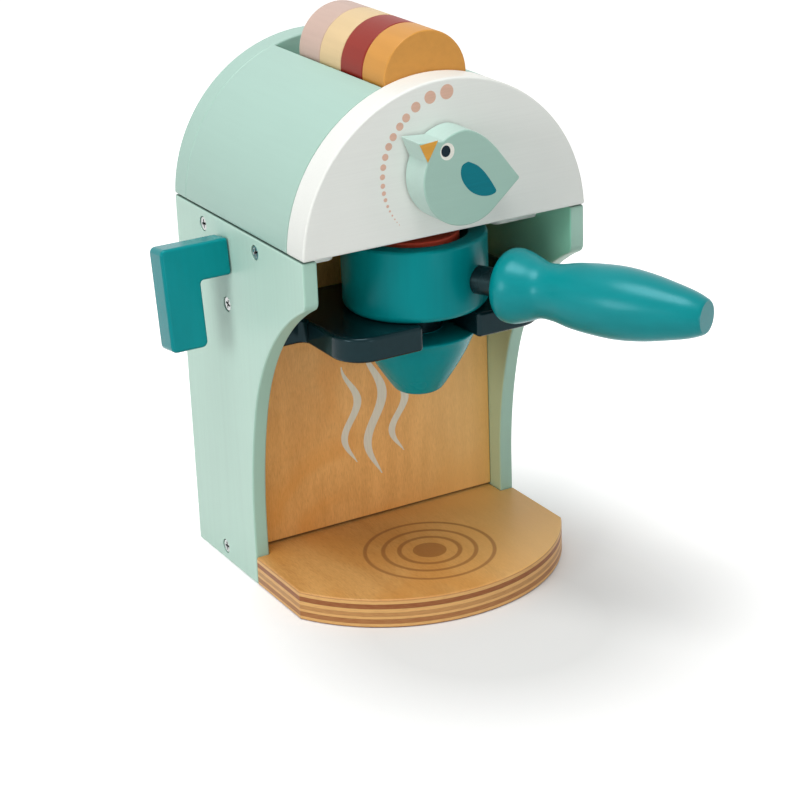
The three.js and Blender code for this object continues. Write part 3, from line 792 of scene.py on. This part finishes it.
# Dots by their angle round the knob, their distance from its middle and their size, all in millimetres.
knob_middle = Vector((0, 0, 0.23))
dots = [
    (88.2, 38.0, 7.3), (102.4, 37.6, 6.3), (115.8, 36.9, 5.1), (126.7, 36.0, 4.3),
    (134.9, 35.6, 4.0), (144.3, 35.6, 3.9), (152.4, 35.6, 3.75), (160.8, 35.6, 3.4),
    (168.8, 35.6, 3.2), (176.3, 35.6, 2.8), (183.4, 35.6, 2.5), (189.4, 35.6, 2.25),
    (195.0, 35.6, 2.0), (200.6, 35.6, 1.55), (205.2, 35.6, 1.1), (209.5, 35.6, 1.0),
    (213.4, 35.6, 0.85), (216.7, 35.6, 0.6), (219.9, 35.6, 0.5),
]
millimetre = 0.001
print_depth = 0.0002
print_proud = 0.00003
print_relief = 0.00002
printed_dots = []
for angle, away, size in dots:
    turn = math.radians(angle)
    place = knob_middle + away * millimetre * Vector((math.cos(turn), 0, math.sin(turn)))
    place.y = print_depth / 2 - print_proud
    printed_dots.append(
        round_block("dot", place, size * millimetre / 2, print_depth, (quarter_turn, 0, 0), sides=40)
    )
bpy.ops.object.select_all(action="DESELECT")
for dot in printed_dots:
    dot.select_set(True)
bpy.context.view_layer.objects.active = printed_dots[0]
bpy.ops.object.join()
dot_print = settled(bpy.context.object, "dot_print")


ink_contrast = 0.04


def printed(name, colour, board_grain=(60, 600, 900)):
    """Screen-printed ink: one colour with the board's fine grain in it."""
    finish = Finish(name, shine=0.15)
    grain = finish.noise(finish.stretched(board_grain), 1, 3)
    tone = finish.step(grain, 0.3, 0.7)
    finish.colour(tone, ink(*colour, 1 - ink_contrast), ink(*colour, 1 + ink_contrast))
    finish.feed("Roughness", 0.42 + grain * 0.12)
    finish.relief(grain, print_relief)
    return finish


fitted(dot_print, printed("dot_ink", (222, 181, 161)), "machine", "front_paint")


# Collar board: closes the housing from below and is notched round the bowl. Its two tips show under the
# front panel, rounded and painted white.
collar_low, collar_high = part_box("collar_board")
bowl_middle = Vector((0, 0.0345, 0))
notch_radius = 0.046
notch_segments = 60
tip_radius = 0.004
tip_segments = 8
collar_easing = 0.0013
tip, notch_start = nosed(collar_low.y, bowl_middle.yx, notch_radius, tip_radius, tip_segments)
notch = arc(*bowl_middle.yx, notch_radius, notch_start, -notch_start, notch_segments)
half_outline = [(collar_high.y, collar_high.x), (collar_low.y, collar_high.x)] + tip
other_half = [(back, -across) for back, across in half_outline[::-1]]
collar_outline = [(across, back) for back, across in half_outline + notch[1:-1] + other_half]
collar = sawn("collar", collar_outline, collar_low.z, collar_high.z, 2)
eased(collar, collar_easing, 4)
# Painted light: the collar's white is lighter than the front panel's, making up for the shade under the
# housing.
collar_lit_white = (249, 251, 247)
collar_finish = painted("white_collar_paint", collar_lit_white, (12, 500, 500), gloss=0.42)
fitted(collar, collar_finish, "machine", "white_paint", "collar_board")


# Fork: a thick board with two prongs, painted dark navy. Its flanges are let in between the side panels,
# the holder's neck slides into its gap, and its edges are well rounded.
fork_low, fork_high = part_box("holder_fork")
fork_shoulder = 0.0135
fork_gap = 0.031
fork_front_radius = 0.017
fork_tip_radius = 0.0025
fork_flange = 0.045
fork_waist_radius = 0.004
fork_easing = 0.0018
saw_overrun = 0.02
fork_half = base_high.x - leg_thickness - fork_shoulder
before_fork = fork_low.y - saw_overrun
under_fork = fork_low.z - saw_overrun
over_fork = fork_high.z + saw_overrun
fork = block("fork", fork_low, fork_high)
for sign in (-1, 1):
    cut_out(fork, block(
        "shoulder",
        (sign * fork_half, before_fork, under_fork),
        (sign * (fork_high.x + saw_overrun), fork_flange, over_fork),
    ))
cut_out(fork, block(
    "gap", (-fork_gap / 2, before_fork, under_fork), (fork_gap / 2, bowl_middle.y, over_fork)
))
cut_out(fork, round_block(
    "gap_end", (0, bowl_middle.y, fork_high.z), fork_gap / 2, 3 * saw_overrun, sides=120
))
for radius, segments, across, back in (
    (fork_front_radius, 14, fork_half, fork_low.y),
    (fork_tip_radius, 7, fork_gap / 2, fork_low.y),
    (fork_waist_radius, 5, fork_half, fork_flange),
):
    round_corners(
        fork, radius, segments,
        lambda edge: runs_along(edge, 2) and near(edge, y=back)
        and abs(abs(edge.verts[0].co.x) - across) < hair,
    )
eased(fork, fork_easing, 5)
navy = (10, 33, 37)
fork_finish = painted(
    "navy_fork_paint", navy, (300, 18, 300), gloss=0.18, contrast=0.1, shine=0.25,
    sheen=(0.6, 0.9, 1),
)
fitted(fork, fork_finish, "machine", "navy_paint", "holder_fork")


# Back board: upright veneered plywood between the legs, varnished, with a plain print of rising steam.
# It stands on the base, with a dark line at its foot, and the fork is screwed on from behind it.
back_low, back_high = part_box("back_board")
back_easing = 0.0009
back_foot_gap = 0.0005
back_board = block("back", back_low + Vector((0, 0, back_foot_gap)), back_high)
for sign in (-1, 1):
    place = (sign * fork_screw_across, back_high.y, fork_screw_up)
    countersunk(back_board, place, (quarter_turn, 0, 0))
eased(back_board, back_easing)
# Painted light: the veneer is far lighter than the base's, for the shade it stands in, and paler towards
# the right.
back_painted_lightness = 1.4
back_painted_light_pale = ink(248, 211, 138)
back_painted_light_end = 0.06
back_painted_light_share = 0.45
foot_shade = ink(84, 40, 16)
foot_share = 0.85
foot_top = back_low.z + back_easing
foot_blur = 0.0006
back_finish, back_timber = varnished(
    "back_varnish", [(26, 20, 16), (160, 60, 14), (2300, 300, 300), (2900, 900, 300)],
    back_painted_lightness,
)
# Painted light: the veneer grows paler towards the right.
back_painted_light_right = back_finish.step(back_finish.along("X"), 0, back_painted_light_end)
back_timber = back_finish.mixed(back_painted_light_right * back_painted_light_share, back_timber, back_painted_light_pale)
at_foot = back_finish.step(back_finish.along("Z"), foot_top, foot_top + foot_blur, 1, 0)
back_finish.colour(at_foot * foot_share, back_timber, foot_shade)
fitted(back_board, back_finish, "machine", "veneer", "back_board")

# Each line of steam: its middle, bottom and top, its sway, its half width and where its wave starts.
steam_lines = {
    "steam_left": (-0.0145, 0.05, 0.106, 0.0044, 0.0025, 0.4),
    "steam_middle": (0, 0.04, 0.114, 0.005, 0.003, 0.4),
    "steam_right": (0.0145, 0.05, 0.1, 0.0044, 0.0025, 0.4),
}


def inked(name, outline, face):
    """A printed shape, thin and nearly flush with the wood."""
    return sawn(name, outline, face, face + print_depth, 1)


steam_face = back_low.y - print_proud
steam_steps = 48
steam_turns = 1.35
steam_end = 0.02
steam_fullness = 0.7
steam_ink = printed("steam_ink", (232, 226, 209), (1100, 600, 90))
for name, (middle, bottom, top, sway, half_width, start) in steam_lines.items():
    left_side = []
    right_side = []
    for step in range(steam_steps + 1):
        share = step / steam_steps
        across = middle + sway * math.sin(full_turn * (start + steam_turns * share))
        up = bottom + share * (top - bottom)
        inner_share = min(1 - steam_end, max(steam_end, share))
        swell = half_width * math.sin(math.pi * inner_share) ** steam_fullness
        left_side.append((across - swell, up))
        right_side.append((across + swell, up))
    outline = left_side + right_side[::-1]
    fitted(inked(name, outline, steam_face), steam_ink, "machine", "veneer")


# Holder: a turned bowl with a recess for a pod, a turned spout and a turned grip, all painted teal. The
# dowel that carries the grip is dark, and the neck, which drops through the fork's gap, is darkened as
# painted shade.
def turned(name, profile, sides=128, place=(0, 0, 0)):
    """Turned on a lathe: the profile's points, from the bottom of the axis to its top, spun round it."""
    piece = added(bpy.ops.mesh.primitive_plane_add, size=millimetre)
    bpy.ops.object.mode_set(mode="EDIT")
    bpy.ops.mesh.select_mode(type="VERT")
    bpy.ops.mesh.select_all(action="SELECT")
    bpy.ops.mesh.merge(type="CENTER")
    radius, height_up = profile[0]
    bpy.ops.transform.translate(value=(radius, 0, height_up))
    for next_radius, next_height in profile[1:]:
        draw_out((next_radius - radius, 0, next_height - height_up))
        radius, height_up = next_radius, next_height
    bpy.ops.mesh.select_all(action="SELECT")
    bpy.ops.mesh.spin(steps=sides, angle=full_turn, center=(0, 0, 0), axis=(0, 0, 1))
    bpy.ops.mesh.select_all(action="SELECT")
    bpy.ops.mesh.remove_doubles(threshold=speck)
    bpy.ops.mesh.normals_make_consistent(inside=False)
    leave_editing()
    piece.location = place
    return settled(piece, name)


def flowing(points, steps):
    """A smooth curve through the points of a profile."""
    ends = [points[0]] + list(points) + [points[-1]]
    curve = []
    for before, start, end, after in zip(ends, ends[1:], ends[2:], ends[3:]):
        for step in range(steps):
            share = step / steps
            curve.append(tuple(
                0.5 * (
                    2 * b + (c - a) * share
                    + (2 * a - 5 * b + 4 * c - d) * share**2
                    + (3 * b - a - 3 * c + d) * share**3
                )
                for a, b, c, d in zip(before, start, end, after)
            ))
    curve.append(tuple(points[-1]))
    return curve


bowl_low, bowl_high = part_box("holder_bowl")
bowl_radius = 0.037
bowl_foot_radius = 0.0038
bowl_foot_segments = 12
rim_easing = 0.0016
rim_segments = 5
recess_radius = 0.027
recess_fillet = 0.002
fillet_segments = 4
neck_radius = 0.013
neck_socket = 0.008
socket_radius = neck_radius + glue_line
pod_thickness = 0.0215
pod_proud = 0.0005
bowl_height = bowl_high.z - bowl_low.z
recess_floor = bowl_height + pod_proud - pod_thickness
outer_rim = bowl_radius - rim_easing
inner_rim = recess_radius + rim_easing
rim_middle = bowl_height - rim_easing
foot_middle = bowl_radius - bowl_foot_radius
bowl_profile = [(0, neck_socket), (socket_radius, neck_socket), (socket_radius, 0)]
bowl_profile += arc(foot_middle, bowl_foot_radius, bowl_foot_radius, -90, 0, bowl_foot_segments)
bowl_profile += arc(outer_rim, rim_middle, rim_easing, 0, 90, rim_segments)
bowl_profile += arc(inner_rim, rim_middle, rim_easing, 90, 180, rim_segments)
fillet_middle = (recess_radius - recess_fillet, recess_floor + recess_fillet)
bowl_profile += arc(*fillet_middle, recess_fillet, 0, -90, fillet_segments)
bowl_profile += [(0, recess_floor)]
bowl = turned("bowl", bowl_profile, 160, (0, bowl_middle.y, bowl_low.z))

grip_angle = math.radians(28)
stub_radius = 0.0072
stub_start = 0.028
stub_end = 0.066
stub_length = stub_end - stub_start
stub_middle = (0, 0, (stub_start + stub_end) / 2)
grip_height = 0.17
grip_pose = (
    Matrix.Translation((0, bowl_middle.y, grip_height))
    @ Matrix.Rotation(grip_angle, 4, "Z")
    @ Matrix.Rotation(quarter_turn, 4, "X")
)


def along_grip(piece, name):
    """Lays a piece that was turned upright along the grip's own line."""
    activate(piece)
    piece.matrix_world = grip_pose
    return settled(piece, name)


seat = round_block("seat", stub_middle, stub_radius + glue_line, stub_length)
cut_out(bowl, along_grip(seat, "seat"))
smoothed(bowl)

spout_low, spout_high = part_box("holder_spout")
spout_top = 0.1397
spout_top_radius = 0.031
spout_shares = [
    (0.27, 0), (0.37, 0.03), (0.45, 0.11), (0.65, 0.39), (0.8, 0.625), (0.93, 0.875),
    (0.99, 0.97), (0.97, 1),
]
spout_length = spout_top - spout_low.z
spout_side = [
    (radius_share * spout_top_radius, spout_low.z + height_share * spout_length)
    for radius_share, height_share in spout_shares
]
spout_profile = [(0, spout_low.z)] + flowing(spout_side, 5)
spout_profile += [(neck_radius, spout_top), (neck_radius, spout_high.z), (0, spout_high.z)]
spout = turned("spout", spout_profile, 160, (0, bowl_middle.y, 0))
smoothed(spout)

stub = round_block("stub", stub_middle, stub_radius, stub_length, sides=96)
eased(stub, shell_easing)
along_grip(stub, "stub")

grip_start = 0.0489
grip_length = 0.11168
grip_radius = 0.0187
grip_shares = [
    (0, 0.47), (0.012, 0.64), (0.03, 0.85), (0.055, 0.97), (0.085, 1), (0.12, 0.97),
    (0.17, 0.87), (0.23, 0.74), (0.3, 0.76), (0.38, 0.86), (0.48, 0.925), (0.6, 0.95),
    (0.72, 0.88), (0.84, 0.74), (0.93, 0.61), (0.985, 0.485), (1, 0.42),
]
grip_side = [
    (radius_share * grip_radius, grip_start + length_share * grip_length)
    for length_share, radius_share in grip_shares
]
bore_radius = stub_radius + glue_line
bore_overrun = 0.0003
bore_end = stub_end + bore_overrun
grip_profile = [(0, bore_end), (bore_radius, bore_end), (bore_radius, grip_start)]
grip_profile += flowing(grip_side, 6)
grip_profile += [(0, grip_start + grip_length)]
grip = along_grip(turned("grip_wood", grip_profile), "grip_wood")
smoothed(grip)

teal = (0, 134, 138)
teal_sheen = (0.35, 0.85, 1)
grip_sheen = (0.46, 0.86, 1)
turned_grain = (300, 300, 30)
grip_grain = (80, 80, 300)
teal_look = {"contrast": 0.04, "depth": 0.00005}
bowl_finish = painted(
    "teal_bowl_paint", teal, turned_grain, gloss=0.29, shine=0.22, sheen=teal_sheen, **teal_look
)
spout_finish = painted(
    "teal_spout_paint", teal, turned_grain, gloss=0.26, shine=0.16, sheen=teal_sheen, **teal_look
)
grip_finish = painted(
    "teal_grip_paint", teal, grip_grain, gloss=0.29, shine=0.36, sheen=grip_sheen, **teal_look
)
dowel_navy = (16, 34, 38)
neck_shade_navy = ink(*dowel_navy, 0.7)
stub_finish = painted(
    "navy_stub_paint", dowel_navy, turned_grain, gloss=0.28, contrast=0.1, shine=0.3,
    sheen=(0.5, 0.85, 0.9),
)
# Painted shade: the neck above the spout's top is darker than the dowel, for the shade under the bowl.
on_neck = spout_finish.step(spout_finish.along("Z"), spout_top + skin / 2, spout_top + 2 * skin)
spout_finish.colour(on_neck, spout_finish.paint, neck_shade_navy)
fitted(bowl, bowl_finish, "holder", "teal_paint", "holder_bowl")
fitted(spout, spout_finish, "holder", "teal_paint", "holder_spout")
fitted(grip, grip_finish, "holder", "teal_paint", "grip")
fitted(stub, stub_finish, "holder", "stub_paint", "grip_stub")


# Pods: five round blocks cut from a rod, with slightly eased edges, each painted in its own colour. Four
# stand on edge in the hopper and the red one lies in the bowl.
pod_radius = 0.023
pod_easing = 0.0008
pod_colours = {
    "pod_mustard": (206, 145, 64),
    "pod_maroon": (140, 34, 18),
    "pod_cream": (220, 193, 147),
    "pod_pink": (200, 173, 160),
    "pod_red": (226, 82, 56),
}
pod_block = round_block("pod_block", (0, 0, 0), pod_radius, pod_thickness, sides=160)
eased(pod_block, pod_easing, 3)
for node, colour in pod_colours.items():
    low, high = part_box(node)
    pod = another(pod_block)
    flat = node == "pod_red"
    pod.rotation_euler = (0, 0, 0) if flat else (quarter_turn, 0, 0)
    pod.location = (low + high) / 2
    settled(pod, node.replace("pod", "block"))
    pod_grain = (300, 300, 20) if flat else (300, 20, 300)
    pod_finish = painted(
        node + "_paint", colour, pod_grain, gloss=0.44, contrast=0.04, shine=0.35
    )
    fitted(pod, pod_finish, node, node + "_paint", node)
bpy.data.objects.remove(pod_block)


# Lever: an L sawn from one board, rounded and painted teal, that turns on a screw from inside the panel.
lever_pivot = Vector((-0.08, 0.0871, 0.1796))
lever_gap = 0.0004
lever_reach = 0.0371
lever_drop = 0.0434
lever_rise = 0.0095
lever_arm_height = 0.019
lever_upright = 0.02
lever_thickness = 0.0146
lever_corner = 0.003
lever_inner_corner = 0.002
lever_easing = 0.0016
lever_lean = math.radians(7)
lever_left = -lever_gap - lever_reach
lever_inner = lever_left + lever_upright
lever_under = lever_rise - lever_arm_height
lever_half = lever_thickness / 2
lever = block(
    "lever", (lever_left, -lever_half, -lever_drop), (-lever_gap, lever_half, lever_rise)
)
cut_out(lever, block(
    "lever_room",
    (lever_inner, -saw_overrun, -lever_drop - saw_overrun),
    (saw_overrun, saw_overrun, lever_under),
))
for radius, across, up in (
    (lever_corner, lever_left, lever_rise),
    (lever_corner, lever_left, -lever_drop),
    (lever_corner, lever_inner, -lever_drop),
    (lever_inner_corner, lever_inner, lever_under),
):
    round_corners(
        lever, radius, 5, lambda edge: runs_along(edge, 1) and near(edge, x=across, z=up)
    )
eased(lever, lever_easing, 5)
activate(lever)
lever.rotation_euler = (-lever_lean, 0, 0)
lever.location = lever_pivot
settled(lever, "lever")
lever_teal = (0, 131, 135)
lever_finish = painted(
    "teal_lever_paint", lever_teal, (300, 300, 16), gloss=0.25, contrast=0.04, shine=0.3,
    sheen=teal_sheen,
)
fitted(lever, lever_finish, "lever", "lever_paint", "lever_arm")


# Knob: a thick disc with a pointed tail and a small beak, turning on a screw through the front panel. It
# is painted grey-green, and its face is printed as a bird with an orange beak, an eye and a teal wing.
knob_low, knob_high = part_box("knob")
knob_radius = 0.0235
knob_easing = 0.0008

# The outline: the angle at which the tail leaves the disc, and corners in shares of the disc's radius.
tail_tangent = -51
tail_segments = 6
crown_segments = 12
beak_segments = 12
disc_segments = 60
beak_root = (-0.89, 0.45)
beak_tip = (-1.08, 0.89)
beak_top = (-0.56, 0.88)
tail_under = (1.22, -0.275)
tail_tip = (1.295, -0.225)
tail_over = (1.25, -0.172)
tail_top = (0.777, 0.452)
crown = (0.39, 0.93)


def bent(start, control, end, steps):
    """Points of one bend between two points, without its start."""
    points = []
    for step in range(1, steps + 1):
        share = step / steps
        points.append(tuple(
            (1 - share) ** 2 * a + 2 * share * (1 - share) * b + share**2 * c
            for a, b, c in zip(start, control, end)
        ))
    return points


rim_start = (math.cos(math.radians(tail_tangent)), math.sin(math.radians(tail_tangent)))
knob_shares = [rim_start, tail_under]
knob_shares += bent(tail_under, tail_tip, tail_over, tail_segments)
knob_shares += [tail_top]
knob_shares += bent(tail_top, crown, (0, 1), crown_segments)
knob_shares += arc(0, 0, 1, 90, angle_of(beak_top), beak_segments)[1:]
knob_shares += [beak_tip]
knob_shares += arc(0, 0, 1, angle_of(beak_root), 360 + tail_tangent, disc_segments)[:-1]
knob_outline = [
    (knob_radius * across, knob_middle.z + knob_radius * up) for across, up in knob_shares
]
bird = sawn("bird", knob_outline, knob_low.y, knob_high.y, 1)
eased(bird, knob_easing, 3)
bird_side = (182, 208, 199)
bird_front = (158, 193, 180)
bird_grain = (14, 500, 500)
bird_finish = painted("bird_paint", bird_side, bird_grain, gloss=0.44)
on_face = bird_finish.step(
    bird_finish.along("Y"), knob_low.y + 2 * skin, knob_low.y + 3.5 * skin, 1, 0
)
bird_fibres = bird_finish.noise(bird_finish.stretched(bird_grain), 1, 4)
bird_face_paint = bird_finish.mixed(bird_fibres, ink(*bird_front, 0.97), ink(*bird_front, 1.03))
bird_finish.colour(on_face, bird_finish.paint, bird_face_paint)
fitted(bird, bird_finish, "knob", "knob_paint", "knob")

bird_face = knob_low.y - print_proud
beak_outline = [(-0.0250, 0.2500), (-0.0209, 0.2410), (-0.0150, 0.2508)]
beak_print = inked("beak_print", beak_outline, bird_face)
fitted(beak_print, printed("beak_ink", (223, 162, 69)), "knob", "knob_paint")

wing_points = [
    (0.0012, 0.2378), (-0.0020, 0.2366), (-0.0031, 0.2335), (-0.0026, 0.2298), (-0.0005, 0.2259),
    (0.0030, 0.2222), (0.0080, 0.2197), (0.0130, 0.2191), (0.0163, 0.2203), (0.0153, 0.2232),
    (0.0109, 0.2301), (0.0064, 0.2349),
]
wing_outline = flowing(wing_points + wing_points[:1], 6)[:-1]
wing_print = inked("wing_print", wing_outline, bird_face)
fitted(wing_print, printed("wing_ink", (0, 117, 130)), "knob", "knob_paint")

eye_middle = Vector((-0.0102, 0, 0.2446))
pupil_middle = Vector((-0.0110, 0, 0.2449))
oval_points = 48

# Each oval's middle, half its width and height, its colour and how far it lies on top of the other.
eye_ovals = {
    "eye_print": (eye_middle, 0.0039, 0.0042, (236, 236, 226), 0),
    "pupil_print": (pupil_middle, 0.0025, 0.0028, (10, 32, 42), print_proud),
}
for name, (middle, half_across, half_up, colour, lift) in eye_ovals.items():
    outline = [
        (middle.x + half_across * math.cos(angle), middle.z + half_up * math.sin(angle))
        for angle in (full_turn * step / oval_points for step in range(oval_points))
    ]
    eye = inked(name, outline, bird_face - lift)
    fitted(eye, printed(name + "_ink", colour), "knob", "knob_paint")


# Fixings that stay hidden: beech dowels in the housing's end panels, and the screws that the lever and
# the knob turn on.
beech_dark = ink(196, 156, 108)
beech_pale = ink(226, 192, 148)
dowel_finish = Finish("dowel_beech")
dowel_grain = dowel_finish.noise(dowel_finish.stretched((500, 30, 500)), 1, 4)
dowel_finish.colour(dowel_grain, beech_dark, beech_pale)
dowel_finish.feed("Roughness", 0.55 + dowel_grain * 0.2)
dowel_finish.relief(dowel_grain, 0.00008)
for node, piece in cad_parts.items():
    if node.endswith("_dowel"):
        coated(piece, dowel_finish)
    if node in ("lever_screw", "knob_screw"):
        coated(piece, steel)
